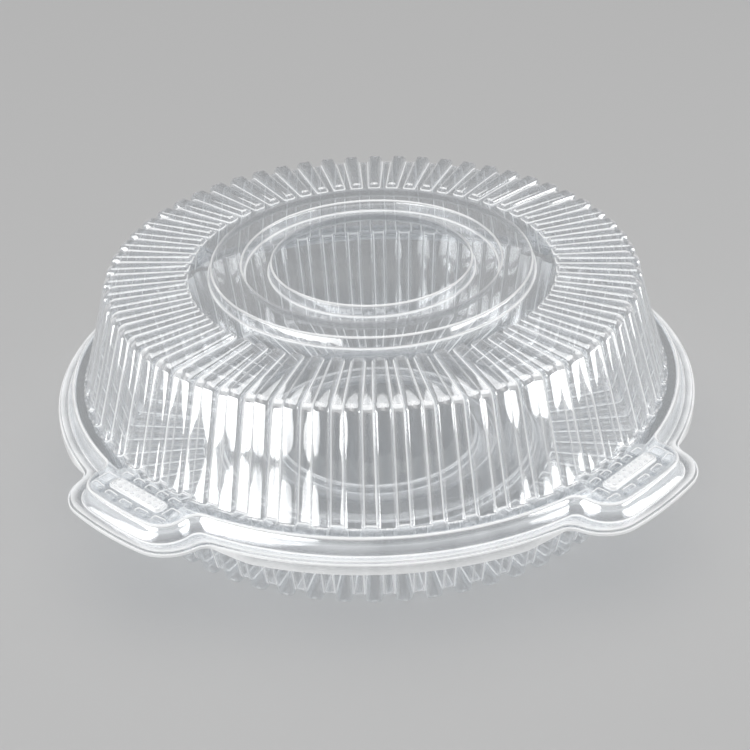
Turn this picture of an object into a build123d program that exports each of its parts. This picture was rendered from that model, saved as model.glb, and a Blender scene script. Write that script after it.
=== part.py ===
from build123d import *
import math
import os

# A round container for a cake, in two pieces: a ribbed lid and a ribbed base, each formed from one thin
# clear sheet. Lengths are in millimetres. The origin is the centre of the face the base stands on, +Z up.

# The sheet, the air left where the lid's rim sits over the base's, and the air left when containers stack
sheet = 0.5
seat_gap = 0.3
stack_gap = 1.5

# Ribs round the wall and corner of both pieces: they stand proud of the recesses between them
rib_count = 61
rib_share = 0.52
rib_rise = 2.3
rib_start_radius = 86.0
rib_end_run = 1.2
corner_round = 2.5

# Base: radii of the recesses' outer face at the floor and at the rim, and the height of the rim
floor_radius = 126.9
mouth_radius = 137.7
base_rim_z = 47.0
floor_rise = 3.8

# Lid: radii of the recesses' outer face at the shoulder and at the ledge, and the height above the ledge
shoulder_radius = 122.7
foot_radius = 137.2
dome_height = 50.0
shoulder_fall = 0.8

# Raised round panels in the middle of the lid: a disc, then a ring with a groove between them
disc_radius = 47.5
ring_inner_radius = 60.8
ring_outer_radius = 75.6
panel_rise = 5.2
step_run = 1.0

# Ledge and skirt of the lid's rim, and the thin lips at the skirt's foot
ledge_radius = 145.5
skirt_angle = 22.0
skirt_height = 7.8
lid_lip_width = 3.3
base_lip_overhang = 1.4
lip_drop = 5.0
tab_lip_drop = 1.0
lip_fade_start = 36.0
lip_fade_end = 62.0

# Four tabs that the fingers hold to pull the lid off
tab_count = 4
tab_bearing = 45.0
tab_reach = 162.9
tab_half_width = 28.2
tab_corner = 12.0
tab_neck = 6.5
lip_ear = 2.8
lip_neck = 8.0

# Sunk wells in the top of each tab: an outer row, an inner row and one at each end
well_depth = 3.0
well_corner = 1.0
outer_well_count = 5
outer_well_pitch = 10.2
outer_well_length = 6.6
outer_well_width = 2.6
outer_well_inset = 5.3
inner_well_count = 5
inner_well_pitch = 7.6
inner_well_length = 5.0
inner_well_width = 3.2
inner_well_offset = 3.6
end_well_length = 7.0
end_well_width = 6.0
end_well_inset = 7.2

# Heights and slopes that follow from the sizes above
ledge_z = base_rim_z + seat_gap + sheet
lid_flat_z = ledge_z + dome_height
lip_z = ledge_z - skirt_height
base_lip_z = lip_z - seat_gap
tab_seat_z = ledge_z - well_depth - sheet - seat_gap
skirt_slope = math.tan(math.radians(skirt_angle))
skirt_cosine = math.cos(math.radians(skirt_angle))
pitch_angle = 360 / rib_count
bury = rib_rise / 2


def ring_of_revolution(points, corner, corner_radius, arc=360):
    """Turns a closed outline in the XZ plane about Z, with its point at corner rounded."""
    outline = make_face(Polyline(*points, close=True))
    tip = outline.vertices().sort_by_distance((corner[0], corner[1], 0))[0]
    outline = fillet(tip, corner_radius)
    return revolve(Plane.XZ * outline, Axis.Z, revolution_arc=arc)


def with_ribs(body, rib, first_bearing):
    """Joins a full circle of copies of one rib to a body, the first at first_bearing."""
    return body + [Rot(0, 0, first_bearing + count * pitch_angle) * rib for count in range(rib_count)]


def rib_half_angle(inset):
    """Half the angle a rib takes up, on its outer face or, inset by the sheet, on its inner one."""
    middle_radius = (rib_start_radius + foot_radius) / 2
    return rib_share * pitch_angle / 2 - math.degrees(inset / middle_radius)


def dome(inset, bottom_z):
    """The space under the lid's dome, out to its outer face or, with inset, to its inner one."""
    flat_z = lid_flat_z - inset
    top_z = flat_z + panel_rise
    corner = (shoulder_radius - inset, flat_z - shoulder_fall)
    rounding = corner_round - inset
    outline = [
        (0, bottom_z),
        (0, top_z),
        (disc_radius - inset, top_z),
        (disc_radius + step_run - inset, flat_z),
        (ring_inner_radius - step_run + inset, flat_z),
        (ring_inner_radius + inset, top_z),
        (ring_outer_radius - inset, top_z),
        (ring_outer_radius + step_run - inset, flat_z),
        (rib_start_radius, flat_z),
        corner,
        (foot_radius - inset, ledge_z - inset),
        (foot_radius - inset, bottom_z),
    ]
    body = ring_of_revolution(outline, corner, rounding)
    half_angle = rib_half_angle(inset)
    rib_corner = (shoulder_radius + rib_rise - inset, flat_z - shoulder_fall + rib_rise)
    rib_outline = [
        (rib_start_radius + inset, flat_z - bury),
        (rib_start_radius + inset, flat_z),
        (rib_start_radius + inset + rib_end_run, flat_z + rib_rise),
        rib_corner,
        (foot_radius + rib_rise - inset, ledge_z - inset),
        (foot_radius + rib_rise - inset, bottom_z),
        (foot_radius - bury - inset, bottom_z),
        (foot_radius - bury - inset, ledge_z - inset),
        (shoulder_radius - bury - inset, flat_z - shoulder_fall - bury),
    ]
    rib = ring_of_revolution(rib_outline, rib_corner, rounding, 2 * half_angle)
    return with_ribs(body, rib, -90 - half_angle)


def bowl(inset, top_z):
    """The space inside the base's bowl, out to its outer face or, with inset, to its inner one."""
    flat_z = rib_rise + inset
    panel_z = flat_z + floor_rise
    mouth = mouth_radius - inset + (top_z - base_rim_z) * (mouth_radius - floor_radius) / base_rim_z
    corner = (floor_radius - inset, flat_z)
    rounding = corner_round - inset
    disc_edge = disc_radius + stack_gap + inset
    ring_near = ring_inner_radius - stack_gap - inset
    ring_far = ring_outer_radius + stack_gap + inset
    outline = [
        (0, top_z),
        (0, panel_z),
        (disc_edge, panel_z),
        (disc_edge + step_run, flat_z),
        (ring_near - step_run, flat_z),
        (ring_near, panel_z),
        (ring_far, panel_z),
        (ring_far + step_run, flat_z),
        corner,
        (mouth, top_z),
    ]
    body = ring_of_revolution(outline, corner, rounding)
    half_angle = rib_half_angle(inset)
    rib_corner = (floor_radius + rib_rise - inset, inset)
    rib_outline = [
        (rib_start_radius + inset, flat_z + bury),
        (rib_start_radius + inset, flat_z),
        (rib_start_radius + inset + rib_end_run, inset),
        rib_corner,
        (mouth + rib_rise, top_z),
        (mouth - bury, top_z),
        (floor_radius - bury - inset, flat_z + bury),
    ]
    rib = ring_of_revolution(rib_outline, rib_corner, rounding, 2 * half_angle)
    return with_ribs(body, rib, -90 + pitch_angle / 2 - half_angle)


def on_each_tab(shape):
    """Copies of a shape that lies along +X, turned to each tab."""
    return [Rot(0, 0, tab_bearing + count * 360 / tab_count) * shape for count in range(tab_count)]


def rim_plan(grow, ear=0.0, neck=None):
    """The rim's outline seen from above at the ledge, moved out by grow, and wider at the tabs by ear."""
    radius = ledge_radius + grow
    reach = tab_reach + grow
    corner = tab_corner + grow
    if neck is None:
        neck = tab_neck - grow / 2
    corner_run = reach - corner
    corner_y = tab_half_width + grow + ear - corner
    corner_x = math.sqrt(corner_run ** 2 - corner_y ** 2)
    corner_bearing = math.degrees(math.asin(corner_y / corner_run))
    neck_run = radius + neck
    spread = math.acos((neck_run ** 2 + corner_run ** 2 - (corner + neck) ** 2) / (2 * neck_run * corner_run))
    neck_bearing = corner_bearing + math.degrees(spread)
    neck_x = neck_run * math.cos(math.radians(neck_bearing))
    neck_y = neck_run * math.sin(math.radians(neck_bearing))
    joining = math.degrees(math.atan2(neck_y - corner_y, neck_x - corner_x))
    arcs = [
        CenterArc((0, 0), reach, -corner_bearing, 2 * corner_bearing),
        CenterArc((corner_x, corner_y), corner, corner_bearing, joining - corner_bearing),
        CenterArc((neck_x, neck_y), neck, joining + 180, neck_bearing - joining),
        CenterArc((0, 0), radius, neck_bearing, 360 / tab_count - 2 * neck_bearing),
        CenterArc((neck_x, -neck_y), neck, 180 - neck_bearing, neck_bearing - joining),
        CenterArc((corner_x, -corner_y), corner, -joining, joining - corner_bearing),
    ]
    outline = []
    for arc in arcs:
        outline += [Rot(0, 0, tab_bearing + count * 360 / tab_count) * arc for count in range(tab_count)]
    return make_face(outline)


def skirt_grow(z, inset):
    """How far out of the ledge's edge the skirt lies at height z, inset by a thickness square to it."""
    return (ledge_z - z) * skirt_slope - inset / skirt_cosine


def skirt_space(inset, low_z, high_z):
    """The space inside the skirt between two heights, with the tabs."""
    low_plan = Pos(0, 0, low_z) * rim_plan(skirt_grow(low_z, inset))
    high_plan = Pos(0, 0, high_z) * rim_plan(skirt_grow(high_z, inset))
    return loft([low_plan, high_plan], ruled=True)


def round_skirt_space(inset, low_z, high_z):
    """The space inside the skirt between two heights, without the tabs."""
    low_radius = ledge_radius + skirt_grow(low_z, inset)
    high_radius = ledge_radius + skirt_grow(high_z, inset)
    return Pos(0, 0, (low_z + high_z) / 2) * Cone(low_radius, high_radius, high_z - low_z)


def well(length, width, grow):
    """One sunk well, length across the tab and width along it, made larger all round by grow."""
    plan = RectangleRounded(width + 2 * grow, length + 2 * grow, well_corner + grow)
    bottom_z = ledge_z - well_depth - grow
    return Pos(0, 0, bottom_z) * extrude(plan, well_depth + grow + sheet)


def tab_wells(grow):
    """All the wells of one tab, which lies along +X."""
    outer_row_x = tab_reach - outer_well_inset
    inner_row_x = foot_radius + rib_rise + inner_well_offset
    outer_well = well(outer_well_length, outer_well_width, grow)
    inner_well = well(inner_well_length, inner_well_width, grow)
    end_well = well(end_well_width, end_well_length, grow)
    wells = []
    for count in range(outer_well_count):
        turn = math.degrees((count - (outer_well_count - 1) / 2) * outer_well_pitch / outer_row_x)
        wells.append(Rot(0, 0, turn) * Pos(outer_row_x, 0, 0) * outer_well)
    for count in range(inner_well_count):
        across = (count - (inner_well_count - 1) / 2) * inner_well_pitch
        wells.append(Pos(inner_row_x, across, 0) * inner_well)
    for side in (-1, 1):
        along = (outer_row_x + inner_row_x) / 2
        wells.append(Pos(along, side * (tab_half_width - end_well_inset), 0) * end_well)
    return wells


def all_wells(grow):
    """The wells of all four tabs."""
    wells = []
    for one_well in tab_wells(grow):
        wells.extend(on_each_tab(one_well))
    return wells


def make_lid():
    """Ribbed dome, ledge with four tabs, skirt and lip."""
    below = lip_z - sheet
    lip_grow = skirt_grow(lip_z, 0) + lid_lip_width
    rim = skirt_space(0, lip_z, ledge_z)
    rim += Pos(0, 0, lip_z) * extrude(rim_plan(lip_grow, lip_ear, lip_neck), sheet)
    rim -= all_wells(0)
    under_rim = skirt_space(sheet, below, ledge_z - sheet)
    under_rim -= all_wells(sheet)
    rim -= under_rim
    lid = rim + dome(0, ledge_z - sheet / 2)
    return lid - dome(sheet, below)


def tab_gaps(grow):
    """Room cut down into the base's round rim for the lid's inner wells, made larger all round by grow."""
    half_width = (inner_well_count - 1) / 2 * inner_well_pitch + inner_well_length / 2 + sheet + seat_gap + grow
    bottom_z = tab_seat_z - grow
    gap = Box(ledge_radius, 2 * half_width, base_rim_z + sheet - bottom_z, align=(Align.MIN, Align.CENTER, Align.MIN))
    return on_each_tab(Pos(foot_radius / 2, 0, bottom_z) * gap)


def lip_lifts():
    """Room under the base's lip at the tabs, where the lip is turned down less than between them."""
    low_z = base_lip_z - lip_drop - sheet
    high_z = base_lip_z - tab_lip_drop - sheet
    below_z = low_z - sheet
    low_half_width = lip_fade_end + (low_z - below_z) * (lip_fade_end - lip_fade_start) / (high_z - low_z)
    outline = [(-low_half_width, below_z), (low_half_width, below_z), (lip_fade_start, high_z), (-lip_fade_start, high_z)]
    prism = extrude(Plane.YZ * make_face(Polyline(*outline, close=True)), 2 * tab_reach)
    return on_each_tab(prism - Cylinder(ledge_radius, 2 * base_rim_z))


def make_base():
    """Ribbed bowl, rim that carries the lid's ledge, tabs under the lid's tabs, and a turned-down lip."""
    outer_inset = sheet + seat_gap
    inner_inset = outer_inset + sheet
    low_z = base_lip_z - lip_drop
    lip_grow = skirt_grow(lip_z, 0) + lid_lip_width + base_lip_overhang
    rim = round_skirt_space(outer_inset, base_lip_z - sheet, base_rim_z) - tab_gaps(0)
    rim += skirt_space(outer_inset, base_lip_z - sheet, tab_seat_z)
    rim += Pos(0, 0, low_z) * extrude(rim_plan(lip_grow, lip_ear, lip_neck), base_lip_z - low_z)
    under_rim = round_skirt_space(inner_inset, base_lip_z - 2 * sheet, base_rim_z - sheet) - tab_gaps(sheet)
    under_rim += skirt_space(inner_inset, base_lip_z - 2 * sheet, tab_seat_z - sheet)
    under_rim += Pos(0, 0, low_z - sheet) * extrude(rim_plan(lip_grow - sheet, lip_ear, lip_neck + sheet), base_lip_z - low_z)
    base = (rim - under_rim - lip_lifts()) + (bowl(0, base_rim_z - sheet / 2) - tab_gaps(0))
    return base - bowl(sheet, base_rim_z + sheet)


os.makedirs("parts", exist_ok=True)
export_step(make_lid(), "parts/lid.step")
export_step(make_base(), "parts/base.step")
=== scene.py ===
import math

import bmesh
import bpy
from mathutils import Matrix, Vector


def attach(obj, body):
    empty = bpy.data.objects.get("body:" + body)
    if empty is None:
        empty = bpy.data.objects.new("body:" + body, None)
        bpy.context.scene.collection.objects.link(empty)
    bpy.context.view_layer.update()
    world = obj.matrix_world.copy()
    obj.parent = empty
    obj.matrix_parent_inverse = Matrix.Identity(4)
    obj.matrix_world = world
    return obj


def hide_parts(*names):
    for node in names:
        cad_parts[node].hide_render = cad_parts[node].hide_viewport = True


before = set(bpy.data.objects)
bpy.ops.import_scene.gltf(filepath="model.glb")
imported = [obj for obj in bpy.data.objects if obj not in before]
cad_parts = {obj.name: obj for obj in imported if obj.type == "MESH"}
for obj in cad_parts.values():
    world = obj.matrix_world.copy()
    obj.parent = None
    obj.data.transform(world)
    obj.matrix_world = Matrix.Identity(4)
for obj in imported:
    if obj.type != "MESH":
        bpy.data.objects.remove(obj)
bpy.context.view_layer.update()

# The base: one thin clear sheet, heated and drawn by vacuum into a round tray. Its floor has a raised disc
# and ring that stiffen it, and ribs run from the floor round the corner and up the wall to the rim.
sheet = 0.5
rib_count = 61
pitch = math.tau / rib_count
rib_middle_share = 0.58
rib_rise = 2.3
rib_start = 86.0
rib_draft = 72
rib_foot_round = 0.5
rib_top_round = 1.5
weld = 0.01


def in_order(start):
    """Points along a chain of edges from its first vertex to its last."""
    points, seen, step = [], set(), start
    while step is not None:
        points.append(step.co.copy())
        seen.add(step)
        step = next((e.other_vert(step) for e in step.link_edges if e.other_vert(step) not in seen), None)
    return points


def softened(corners, segments=4):
    """Line of (across, up) points from (across, up, radius) corners, each corner rounded to its radius."""
    line = bmesh.new()
    verts = [line.verts.new((across, 0, up)) for across, up, radius in corners]
    for one, other in zip(verts, verts[1:]):
        line.edges.new((one, other))
    start = verts[0]
    bends = []
    for before, corner, after, (across, up, radius) in zip(verts, verts[1:], verts[2:], corners[1:]):
        turn = (corner.co - before.co).angle(after.co - corner.co)
        if radius:
            bends.append((corner, radius * math.tan(turn / 2)))
    for corner, offset in bends:
        bmesh.ops.bevel(line, geom=[corner], affect="VERTICES", offset=offset, offset_type="OFFSET",
                        segments=segments, profile=0.5, material=-1)
    points = [(point.x, point.z) for point in in_order(start)]
    line.free()
    return points


def rib_side():
    """Run in from the middle of a rib's side and share of its rise, for points from its foot to its top."""
    lean = rib_rise / math.tan(math.radians(rib_draft)) / 2
    beyond = 3
    corners = [(-beyond, 0, 0), (-lean, 0, rib_foot_round)]
    corners += [(lean, rib_rise, rib_top_round), (beyond, rib_rise, 0)]
    points = softened(corners, 3)
    return [(across, up / rib_rise) for across, up in points[1:-1]]


def turned(bm, points, steps):
    """Surface made by turning a line of (radius, up) points a full circle about Z."""
    verts = [bm.verts.new((radius, 0, up)) for radius, up in points]
    edges = [bm.edges.new(pair) for pair in zip(verts, verts[1:])]
    bmesh.ops.spin(bm, geom=verts + edges, cent=(0, 0, 0), axis=(0, 0, 1), dvec=(0, 0, 0),
                   angle=math.tau, steps=steps, use_merge=True)
    bmesh.ops.remove_doubles(bm, verts=bm.verts, dist=weld)


# Painted highlight on the ribs: a little on their feet between these shares of the rise, and part of it taken
# off their upper sides.
rib_foot_shares = (0.05, 0.4)
rib_foot_highlight = 0.2
rib_side_highlight_cut = -0.65


def ribbed(bm, recess, rib, first_bearing):
    """Ribbed band: a grid one pitch wide, set between the recess and rib lines of corners, copied all round.
    The ribs' feet get a little painted highlight, and their tops less painted highlight than the bend would
    give them."""
    painted_highlight = bm.verts.layers.float["painted_highlight"]
    side = rib_side()
    recess, rib = softened(recess), softened(rib)
    rises = [0] + [share for run, share in side]
    rises += [1] * (len(recess) - len(rises))
    columns = [(-1, None, 0)] + [(-1, run, share) for run, share in side] + [(0, None, 1)]
    columns += [(1, run, share) for run, share in reversed(side)] + [(1, None, 0)]
    grid = bmesh.ops.create_grid(bm, x_segments=len(columns) - 1, y_segments=len(recess) - 1, size=1)
    for vert in grid["verts"]:
        hand, run, share = columns[round((vert.co.x + 1) / 2 * (len(columns) - 1))]
        row = round((vert.co.y + 1) / 2 * (len(recess) - 1))
        low = Vector(recess[row])
        lift = share * rises[row]
        place = low.lerp(Vector(rib[row]), lift)
        across = pitch / 2 if run is None else rib_middle_share * pitch / 2 - run / low.x
        bearing = first_bearing + hand * across
        vert.co = (place.x * math.cos(bearing), place.x * math.sin(bearing), place.y)
        if rib_foot_shares[0] < lift < rib_foot_shares[1]:
            vert[painted_highlight] = rib_foot_highlight
        elif lift >= rib_foot_shares[1] and 0 < share < 1:
            vert[painted_highlight] = rib_side_highlight_cut
    geom = grid["verts"] + list({e for v in grid["verts"] for e in v.link_edges})
    geom += list({f for v in grid["verts"] for f in v.link_faces})
    bmesh.ops.spin(bm, geom=geom, cent=(0, 0, 0), axis=(0, 0, 1), dvec=(0, 0, 0),
                   angle=pitch * (rib_count - 1), steps=rib_count - 1, use_duplicate=True)
    bmesh.ops.remove_doubles(bm, verts=bm.verts, dist=weld)


def open_edges(bm, near, far, up):
    """Edges at one height with one face or none, whose ends lie between two radii."""
    slack = 0.15
    level = {v for v in bm.verts if abs(v.co.z - up) < 2 * weld}
    between = {v for v in level if near - slack < v.co.xy.length < far + slack}
    return [e for e in bm.edges if len(e.link_faces) < 2 and all(v in between for v in e.verts)]


def filled(bm, edges):
    """Flat skin between closed edges, with the smaller ones inside it left as holes."""
    bmesh.ops.triangle_fill(bm, use_beauty=True, use_dissolve=False, edges=edges, normal=(0, 0, 1))


ledge_radius = 145.5
tab_reach = 162.9
tab_half_width = 28.2
tab_corner = 12.0
tab_neck = 6.5
lip_ear = 2.8
lip_neck = 8.0
lip_spread = 3.0
tab_count = 4
tab_turn = math.tau / tab_count
tab_bearings = [tab_turn * (count + 0.5) for count in range(tab_count)]
rim_steps = {"tab_end": 6, "corner": 9, "neck": 7, "rim": 24}


def rim_edge(bm, grow, up, share):
    """Closed edge round the rim and its four tabs at one height, grown outwards from the ledge's own edge.
    Its share of the lip's wider tabs and necks goes from 0 on the skirt to 1 on the lip."""
    reach = tab_reach + grow
    corner = tab_corner + grow
    neck = tab_neck - grow / 2
    neck += (lip_neck - neck) * share
    corner_run = reach - corner
    neck_run = ledge_radius + grow + neck
    corner_turn = math.asin((tab_half_width + grow + lip_ear * share - corner) / corner_run)
    spread = math.acos((neck_run ** 2 + corner_run ** 2 - (corner + neck) ** 2) / (2 * neck_run * corner_run))
    neck_turn = corner_turn + spread
    corner_centre = Vector((math.sin(corner_turn), math.cos(corner_turn), 0)) * corner_run
    neck_centre = Vector((math.sin(neck_turn), math.cos(neck_turn), 0)) * neck_run
    joining = math.atan2(neck_centre.x - corner_centre.x, neck_centre.y - corner_centre.y)
    corner_centre.z = neck_centre.z = up

    def round_about(vert, centre, angle, steps):
        done = bmesh.ops.spin(bm, geom=[vert], cent=centre, axis=(0, 0, 1), dvec=(0, 0, 0),
                              angle=angle, steps=steps)
        return next(g for g in done["geom_last"] if isinstance(g, bmesh.types.BMVert))

    before = set(bm.verts)
    pen = bm.verts.new((0, reach, up))
    pen = round_about(pen, (0, 0, up), -corner_turn, rim_steps["tab_end"])
    pen = round_about(pen, corner_centre, corner_turn - joining, rim_steps["corner"])
    pen = round_about(pen, neck_centre, joining - neck_turn, rim_steps["neck"])
    round_about(pen, (0, 0, up), neck_turn - tab_turn / 2, rim_steps["rim"])
    verts = [v for v in bm.verts if v not in before]
    edges = list({e for v in verts for e in v.link_edges})
    bmesh.ops.mirror(bm, geom=verts + edges, matrix=Matrix.Identity(4), axis="X", merge_dist=weld / 10)
    verts = [v for v in bm.verts if v not in before]
    bmesh.ops.rotate(bm, verts=verts, cent=(0, 0, 0), matrix=Matrix.Rotation(-tab_turn / 2, 3, "Z"))
    edges = list({e for v in verts for e in v.link_edges})
    bmesh.ops.spin(bm, geom=verts + edges, cent=(0, 0, 0), axis=(0, 0, 1), dvec=(0, 0, 0),
                   angle=tab_turn * (tab_count - 1), steps=tab_count - 1, use_duplicate=True)
    verts = [v for v in bm.verts if v not in before]
    bmesh.ops.remove_doubles(bm, verts=verts, dist=weld)
    verts = [v for v in bm.verts if v not in before]
    return list({e for v in verts for e in v.link_edges})


def beside_tab(vert):
    """How far to the side of the nearest tab's middle line a vertex lies."""
    off_tab = math.atan2(vert.co.y, vert.co.x) % tab_turn - tab_turn / 2
    return vert.co.xy.length * math.sin(off_tab)


def rim_skin(bm, line, lip_start):
    """Rim surface through closed edges, one for each (grow, up) point of a line.
    Past lip_start the tabs widen."""
    loops = []
    for grow, up in line:
        loops.append(rim_edge(bm, grow, up, max(0, min(1, (grow - lip_start) / lip_spread))))
    for inner, outer in zip(loops, loops[1:]):
        bmesh.ops.bridge_loops(bm, edges=inner + outer)
    return loops[0]


# Painted highlight at the bends: none up to 8 degrees of bend, rising to full over the next 14.
highlight_bend_start = 8
highlight_bend_span = 14
sharp_bend = 50
millimetre = 0.001


def finished_sheet(bm, name, node, outward, material):
    """Marks painted highlight where the surface bends, gives it its thickness inwards and makes it stand for
    a node.
    Its layer of painted highlight holds each vertex's least share or, under 0, the share of it that is taken
    away."""
    bmesh.ops.remove_doubles(bm, verts=bm.verts, dist=weld)
    bmesh.ops.recalc_face_normals(bm, faces=bm.faces)
    middle = min(bm.faces, key=lambda f: f.calc_center_median().xy.length)
    if middle.normal.z * outward < 0:
        bmesh.ops.reverse_faces(bm, faces=bm.faces)
    bm.normal_update()
    painted_highlight = bm.verts.layers.float["painted_highlight"]
    # Each vertex gets painted highlight by how sharply the surface bends there.
    for vert in bm.verts:
        bend = max(edge.calc_face_angle(math.pi / 2) for edge in vert.link_edges)
        bend_highlight = min(1, max(0, math.degrees(bend) - highlight_bend_start) / highlight_bend_span)
        vert[painted_highlight] = bend_highlight * (1 + vert[painted_highlight]) if vert[painted_highlight] < 0 else max(vert[painted_highlight], bend_highlight)
    bmesh.ops.solidify(bm, geom=bm.faces[:], thickness=sheet)
    for face in bm.faces:
        face.smooth = True
    for edge in bm.edges:
        edge.smooth = len(edge.link_faces) == 2 and edge.calc_face_angle(0) < math.radians(sharp_bend)
    bmesh.ops.scale(bm, verts=bm.verts, vec=(millimetre, millimetre, millimetre))
    mesh = bpy.data.meshes.new(name)
    bm.to_mesh(mesh)
    bm.free()
    piece = bpy.data.objects.new(name, mesh)
    bpy.context.scene.collection.objects.link(piece)
    mesh.materials.append(material)
    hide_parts(node)
    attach(piece, node)


class Socket:
    """A node's output, with the arithmetic that the materials need written as plain expressions."""

    def __init__(self, tree, link):
        self.tree = tree
        self.link = link

    def maths(self, operation, *values):
        return made(self.tree, "ShaderNodeMath", {"operation": operation}, dict(enumerate(values)))

    def __add__(self, other):
        return self.maths("ADD", self, other)

    def __radd__(self, other):
        return self.maths("ADD", other, self)

    def __sub__(self, other):
        return self.maths("SUBTRACT", self, other)

    def __rsub__(self, other):
        return self.maths("SUBTRACT", other, self)

    def __mul__(self, other):
        return self.maths("MULTIPLY", self, other)

    def __rmul__(self, other):
        return self.maths("MULTIPLY", other, self)

    def __pow__(self, other):
        return self.maths("POWER", self, other)


def made(tree, kind, settings, inputs, output=0):
    """A node of one kind with its settings made first, then the values or links of its sockets."""
    new = tree.nodes.new(kind)
    for key, value in settings.items():
        setattr(new, key, value)
    for key, value in inputs.items():
        if isinstance(value, Socket):
            tree.links.new(value.link, new.inputs[key])
        else:
            new.inputs[key].default_value = value
    return Socket(tree, new.outputs[output]) if new.outputs else new


def clear_sheet(name, tint, painted_highlight_strength, face_on, at_slant):
    """Clear glossy plastic sheet: it mirrors a little face on and much at a slant, ripples slightly all over,
    and has a painted highlight at the bends of the ribs and steps, where it turns paler and less mirror-like."""
    material = bpy.data.materials.new(name)
    material.use_nodes = True
    tree = material.node_tree
    tree.nodes.clear()
    place = made(tree, "ShaderNodeTexCoord", {}, {}, "Object")
    ripple = made(tree, "ShaderNodeTexNoise", {}, {"Vector": place, "Scale": 60.0, "Detail": 1.0})
    bump = made(tree, "ShaderNodeBump", {}, {"Strength": 0.3, "Distance": 0.0006, "Height": ripple})
    # Painted highlight: where the vertex layer marks a bend, the sheet is mixed towards a paler, less
    # metallic gloss.
    painted_highlight = made(tree, "ShaderNodeAttribute", {"attribute_name": "painted_highlight"}, {}, "Fac")
    painted_highlight_share = painted_highlight * (painted_highlight_strength * (0.7 + 0.6 * ripple))
    slant = made(tree, "ShaderNodeLayerWeight", {}, {"Blend": 0.5}, "Facing")
    mirror = face_on + at_slant * slant ** 4.0
    gloss = made(tree, "ShaderNodeBsdfPrincipled", {}, {
        "Base Color": (*tint, 1),
        "Metallic": 1 - painted_highlight_share * 1.2,
        "Roughness": 0.04 + 0.05 * ripple,
        "Normal": bump,
    })
    through = made(tree, "ShaderNodeBsdfTransparent", {}, {"Color": (0.94, 0.946, 0.952, 1)})
    seen = made(tree, "ShaderNodeMixShader", {}, {0: mirror + painted_highlight_share, 1: through, 2: gloss})
    shadow_ray = made(tree, "ShaderNodeLightPath", {}, {}, "Is Shadow Ray")
    lit = made(tree, "ShaderNodeBsdfTransparent", {}, {"Color": (0.94, 0.945, 0.95, 1)})
    surface = made(tree, "ShaderNodeMixShader", {}, {0: shadow_ray, 1: seen, 2: lit})
    made(tree, "ShaderNodeOutputMaterial", {}, {"Surface": surface})
    return material


# The 0.82 sets how strong the painted highlight at the bends is.
clear = clear_sheet("clear_sheet", tint=(0.97, 0.975, 0.98), painted_highlight_strength=0.82, face_on=0.05, at_slant=0.85)

disc_radius = 47.5
ring_inner_radius = 60.8
ring_outer_radius = 75.6
step_run = 1.0
step_top_round = 1.2
step_foot_round = 1.0
middle_radius = 82.0
middle_steps = 3 * rib_count


def stepped_middle(low, high, gap):
    """Section of a piece's middle: a raised disc, then a raised ring, each wider than the lid's by a gap."""
    disc = disc_radius + gap
    ring_near = ring_inner_radius - gap
    ring_far = ring_outer_radius + gap
    edge_band = 1.5
    corners = [(0, high, 0), (disc - edge_band, high, 0), (disc, high, step_top_round)]
    corners += [(disc + step_run, low, step_foot_round), (ring_near - step_run, low, step_foot_round)]
    corners += [(ring_near, high, step_top_round), (ring_far, high, step_top_round)]
    corners += [(ring_far + step_run, low, step_foot_round), (middle_radius, low, 0)]
    return softened(corners)


floor_low = rib_rise
floor_high = 6.1
floor_low_highlight = 0.35
floor_slack = 0.1
stacking_gap = 1.5
bm = bmesh.new()
# A vertex layer for the painted highlight; the low parts of the base's floor get some of it.
painted_highlight = bm.verts.layers.float.new("painted_highlight")
turned(bm, stepped_middle(floor_low, floor_high, stacking_gap), middle_steps)
for vert in bm.verts:
    if vert.co.z < floor_low + floor_slack:
        vert[painted_highlight] = floor_low_highlight

rim_top = 46.5
rim_near = 142.2
rim_flat_end = 143.6
rim_bend_radius = 144.5
rim_bend_round = 0.6
tab_seat = 43.5
seat_radius = 145.55
rim_corners = [(rim_near, rim_top, 0), (rim_flat_end, rim_top, 0)]
rim_corners += [(rim_bend_radius, rim_top, rim_bend_round), (seat_radius, tab_seat, 0)]
turned(bm, softened(rim_corners, 3), 2 * middle_steps)

seat_grow = 0.25
under_skirt_grow = 2.07
skirt_foot_round = 0.8
lip_start_grow = 2.6
lip_edge_grow = 7.3
lip_edge_round = 0.6
lip_top = 39.2
lip_foot = 34.7
lip_fade_start = 36.0
lip_fade_run = 22.75
tab_lip_share = 0.22
lip_corners = [(seat_grow, tab_seat, 0), (under_skirt_grow, lip_top, skirt_foot_round)]
lip_corners += [(lip_edge_grow, lip_top, lip_edge_round), (lip_edge_grow, lip_foot, 0)]
seat = rim_skin(bm, softened(lip_corners, 3), lip_start_grow)
for vert in bm.verts:
    if vert.co.z < lip_top and vert.co.xy.length > ledge_radius:
        turned_down = max(tab_lip_share, min(1, (abs(beside_tab(vert)) - lip_fade_start) / lip_fade_run))
        vert.co.z = lip_top - (lip_top - vert.co.z) * turned_down
filled(bm, seat + open_edges(bm, seat_radius, seat_radius, tab_seat))

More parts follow.
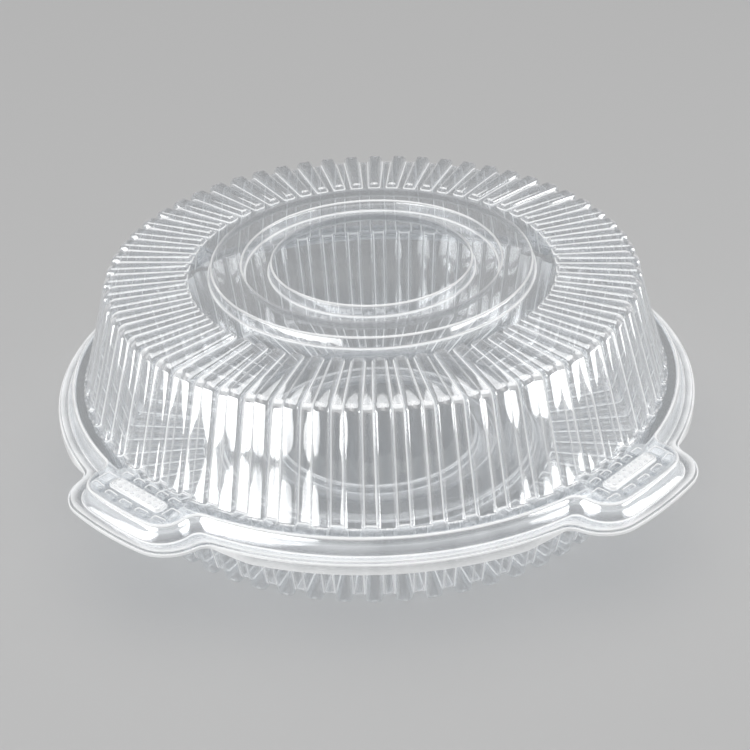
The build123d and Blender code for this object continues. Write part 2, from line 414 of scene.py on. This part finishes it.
band_start = 84.6
floor_middle = 106.0
floor_radius = 126.9
wall_radius = 132.3
wall_middle = 24.4
mouth_radius = 137.6
band_end = 140.9
floor_round = 3.0
mouth_round = 0.8
side = rib_side()
rib_runs = [run - side[0][0] for run, share in side]
recess = [(band_start, floor_low, 0)] + [(rib_start + run, floor_low, 0) for run in rib_runs]
recess += [(floor_middle, floor_low, 0), (floor_radius, floor_low, floor_round)]
recess += [(wall_radius, wall_middle, 0), (mouth_radius, rim_top, mouth_round), (band_end, rim_top, 0)]
rib = [(band_start, floor_low, 0)] + [(rib_start + run, 0, 0) for run in rib_runs]
rib += [(floor_middle, 0, 0), (floor_radius + rib_rise, 0, floor_round)]
rib += [(wall_radius + rib_rise, wall_middle, 0), (mouth_radius + rib_rise, rim_top, mouth_round)]
rib += [(band_end, rim_top, 0)]
ribbed(bm, recess, rib, -math.pi / 2 + pitch / 2)
filled(bm, open_edges(bm, middle_radius, band_start, floor_low))
filled(bm, open_edges(bm, band_end, rim_near, rim_top))

rim_gap_half_width = 19.5
for vert in bm.verts:
    if abs(beside_tab(vert)) < rim_gap_half_width and vert.co.z > tab_seat:
        vert.co.z = tab_seat
finished_sheet(bm, "base_sheet", "base", -1, clear)

# The lid: a second sheet of the same plastic, drawn over a ribbed dome with a raised disc and ring on top.
# Its flat ledge and skirt sit over the base's rim, and four tabs with sunk wells are what the fingers pull.
ledge = 47.8
flat = 97.8
lid_top = 103.0
bm = bmesh.new()
# The lid's vertex layer for the painted highlight at its bends.
bm.verts.layers.float.new("painted_highlight")
turned(bm, stepped_middle(flat, lid_top, 0), middle_steps)

ledge_start_grow = -1.6
ledge_round = 1.4
skirt_middle = (1.15, 44.1)
skirt_curve = 12
skirt_grow = 2.95
lid_lip = 40.5
lid_lip_start = 3.2
lid_lip_edge = 6.45
skirt_corners = [(ledge_start_grow, ledge, 0), (0, ledge, ledge_round), (*skirt_middle, skirt_curve)]
skirt_corners += [(skirt_grow, lid_lip, skirt_foot_round), (lid_lip_edge, lid_lip, 0)]
rim_skin(bm, softened(skirt_corners, 3), lid_lip_start)

well_steps = [(0.12, 0), (0.14, -0.06), (0.14, -0.16), (0.08, -0.25)]
well_steps += [(0.04, -0.6), (0.08, -1.4), (0.12, -0.12)]
pad_steps = [(0.12, 0), (0.12, 0.05), (0.1, 0.15), (0.15, 0.7), (0.1, 0.1), (0.15, 0.04)]
pad_top = ledge + sum(depth for inset, depth in pad_steps)
stud_steps = [(0.1, 0.04), (0.12, 0.18), (0.14, 0.14), (0.2, 0.04)]
# Painted highlight on the tabs: a little on what is raised, none low in the wells.
raised_highlight = 0.25
well_no_highlight_below = -1
pad_highlight_above = 0.1


def pressed(bm, place, size, corner, steps, bearing, keep_top=True):
    """One well, pad or stud of a tab: a rounded face, inset and moved down or up in steps. Low in a well the
    sheet gets no painted highlight, and what is raised gets a little painted highlight."""
    mark = bmesh.new()
    painted_highlight = mark.verts.layers.float.new("painted_highlight")
    verts = bmesh.ops.create_grid(mark, x_segments=1, y_segments=1, size=0.5)["verts"]
    bmesh.ops.scale(mark, verts=verts, vec=(*size, 1))
    bmesh.ops.bevel(mark, geom=verts, affect="VERTICES", offset=corner, offset_type="OFFSET", segments=3,
                    profile=0.5, material=-1)
    for inset, depth in steps:
        top = max(mark.faces, key=lambda f: len(f.verts))
        bmesh.ops.inset_region(mark, faces=[top], thickness=inset, depth=depth, use_even_offset=False,
                               use_boundary=True)
    for vert in mark.verts:
        if vert.co.z < well_no_highlight_below:
            vert[painted_highlight] = -1
        elif vert.co.z > pad_highlight_above:
            vert[painted_highlight] = raised_highlight
    if not keep_top:
        top = max(mark.faces, key=lambda f: len(f.verts))
        bmesh.ops.delete(mark, geom=[top], context="FACES_ONLY")
    bmesh.ops.translate(mark, verts=mark.verts, vec=place)
    bmesh.ops.rotate(mark, verts=mark.verts, cent=(0, 0, 0), matrix=Matrix.Rotation(bearing, 3, "Z"))
    mesh = bpy.data.meshes.new("mark")
    mark.to_mesh(mesh)
    mark.free()
    bm.from_mesh(mesh)
    bpy.data.meshes.remove(mesh)


well_corner = 1.0
outer_row, outer_well, outer_pitch = 157.4, (3.0, 6.8), 10.0
inner_row, inner_well, inner_pitch = 143.1, (3.5, 5.5), 7.6
end_row, end_well, end_offset = 150.0, (6.6, 6.0), 21.0
pad_row, pad, pad_corner = 150.3, (7.6, 33), 2.5
stud, stud_corner, stud_pitch, stud_offset, studs_in_row = (2.2, 2.2), 0.8, 3.8, 1.55, 8
for bearing in tab_bearings:
    for count in range(-2, 3):
        pressed(bm, (outer_row, 0, ledge), outer_well, well_corner, well_steps,
                bearing + count * outer_pitch / outer_row)
        pressed(bm, (inner_row, count * inner_pitch, ledge), inner_well, well_corner, well_steps, bearing)
    for hand in (-1, 1):
        pressed(bm, (end_row, hand * end_offset, ledge), end_well, well_corner, well_steps, bearing)
    pressed(bm, (pad_row, 0, ledge), pad, pad_corner, pad_steps, bearing, False)
    for hand in (-1, 1):
        for count in range(studs_in_row):
            place = (pad_row + hand * stud_offset, (count - (studs_in_row - 1) / 2) * stud_pitch, pad_top)
            pressed(bm, place, stud, stud_corner, stud_steps, bearing)

shoulder_middle = 104.0
shoulder_radius = 122.7
shoulder = 97.0
shoulder_slope = (flat - shoulder) / (shoulder_radius - rib_start)
shoulder_round = 3.8
dome_wall_radius = 130.0
dome_wall_middle = 72.4
foot_radius = 137.2
foot_round = 0.9
dome_end = 140.6
runs = rib_runs + [shoulder_middle - rib_start]
recess = [(band_start, flat, 0)] + [(rib_start + run, flat - shoulder_slope * run, 0) for run in runs]
recess += [(shoulder_radius, shoulder, shoulder_round), (dome_wall_radius, dome_wall_middle, 0)]
recess += [(foot_radius, ledge, foot_round), (dome_end, ledge, 0)]
rib = [(band_start, flat, 0)] + [(rib_start + run, flat + rib_rise - shoulder_slope * run, 0) for run in runs]
rib += [(shoulder_radius + rib_rise, shoulder + rib_rise, shoulder_round)]
rib += [(dome_wall_radius + rib_rise, dome_wall_middle, 0)]
rib += [(foot_radius + rib_rise, ledge, foot_round), (dome_end, ledge, 0)]
ribbed(bm, recess, rib, -math.pi / 2)
filled(bm, open_edges(bm, middle_radius, band_start, flat))
for up in (ledge, pad_top):
    filled(bm, open_edges(bm, dome_end, tab_reach, up))
finished_sheet(bm, "lid_sheet", "lid", 1, clear)

# The stage: a plain pale floor under an even sky, one broad lamp overhead and a low softbox at each side.
# The camera sees the sky in the floor's own colour, so that the floor's edge hardly shows in low views.
floor_reach = 10
bm = bmesh.new()
bmesh.ops.create_grid(bm, x_segments=1, y_segments=1, size=floor_reach)
mesh = bpy.data.meshes.new("floor")
bm.to_mesh(mesh)
bm.free()
floor = bpy.data.objects.new("floor", mesh)
bpy.context.scene.collection.objects.link(floor)
floor_grey = (0.52, 0.52, 0.52, 1)
paint = bpy.data.materials.new("floor_paint")
paint.use_nodes = True
matt = paint.node_tree.nodes["Principled BSDF"]
matt.inputs["Base Color"].default_value = floor_grey
matt.inputs["Roughness"].default_value = 0.9
mesh.materials.append(paint)

world = bpy.data.worlds.new("studio")
bpy.context.scene.world = world
world.use_nodes = True
sky = world.node_tree
sky.nodes.clear()
camera_ray = made(sky, "ShaderNodeLightPath", {}, {}, "Is Camera Ray")
dim = made(sky, "ShaderNodeBackground", {}, {"Color": (0.26, 0.26, 0.26, 1)})
pale = made(sky, "ShaderNodeBackground", {}, {"Color": floor_grey})
even_sky = made(sky, "ShaderNodeMixShader", {}, {0: camera_ray, 1: dim, 2: pale})
made(sky, "ShaderNodeOutputWorld", {}, {"Surface": even_sky})

overhead = bpy.data.lights.new("overhead_lamp", "SUN")
overhead.energy = 1.85
overhead.angle = math.radians(80)
overhead_lamp = bpy.data.objects.new("overhead_lamp", overhead)
bpy.context.scene.collection.objects.link(overhead_lamp)
overhead_lamp.rotation_euler = (math.radians(-9), 0, 0)


def softbox(name, place, aim, width, height, watts):
    """A long soft lamp with round ends that stands at one place and aims at another."""
    light = bpy.data.lights.new(name, "AREA")
    light.shape = "ELLIPSE"
    light.size = width
    light.size_y = height
    light.energy = watts
    light.spread = math.radians(100)
    lamp = bpy.data.objects.new(name, light)
    bpy.context.scene.collection.objects.link(lamp)
    lamp.location = place
    lamp.rotation_euler = (Vector(aim) - Vector(place)).to_track_quat("-Z", "Y").to_euler()


dome_centre = (0, 0, 0.1)
softbox("left_softbox", (-0.85, -0.53, 0.15), dome_centre, width=1.5, height=0.3, watts=1.45)
softbox("right_softbox", (0.97, -0.22, 0.15), dome_centre, width=1.2, height=0.3, watts=1.25)

# The camera stands where the photograph's did, found by fitting the rim, the lid's edge and the base. It is
# turned about its own three axes, and then swung a little round the object.
focal_pixels = 1708.1
image_pixels = 750
camera = bpy.data.cameras.new("camera")
camera.sensor_width = 36
camera.lens = focal_pixels * camera.sensor_width / image_pixels
camera.clip_start = 0.01
eye = bpy.data.objects.new("camera", camera)
bpy.context.scene.collection.objects.link(eye)
eye_place = (0, -0.712, 0.4711)
pan, tilt, roll, swing = -0.0005, 0.5465, -0.0366, math.radians(-1.15)
ahead = Vector((math.sin(pan) * math.cos(tilt), math.cos(pan) * math.cos(tilt), -math.sin(tilt)))
right = ahead.cross(Vector((0, 0, 1))).normalized()
above = right.cross(ahead)
rolled_right = right * math.cos(roll) + above * math.sin(roll)
rolled_up = -right * math.sin(roll) + above * math.cos(roll)
facing = Matrix((rolled_right, rolled_up, -ahead)).transposed().to_4x4()
eye.matrix_world = Matrix.Rotation(swing, 4, "Z") @ Matrix.Translation(eye_place) @ facing
bpy.context.scene.camera = eye
bpy.context.scene.view_settings.view_transform = "Standard"
bpy.context.scene.cycles.transparent_max_bounces = 32
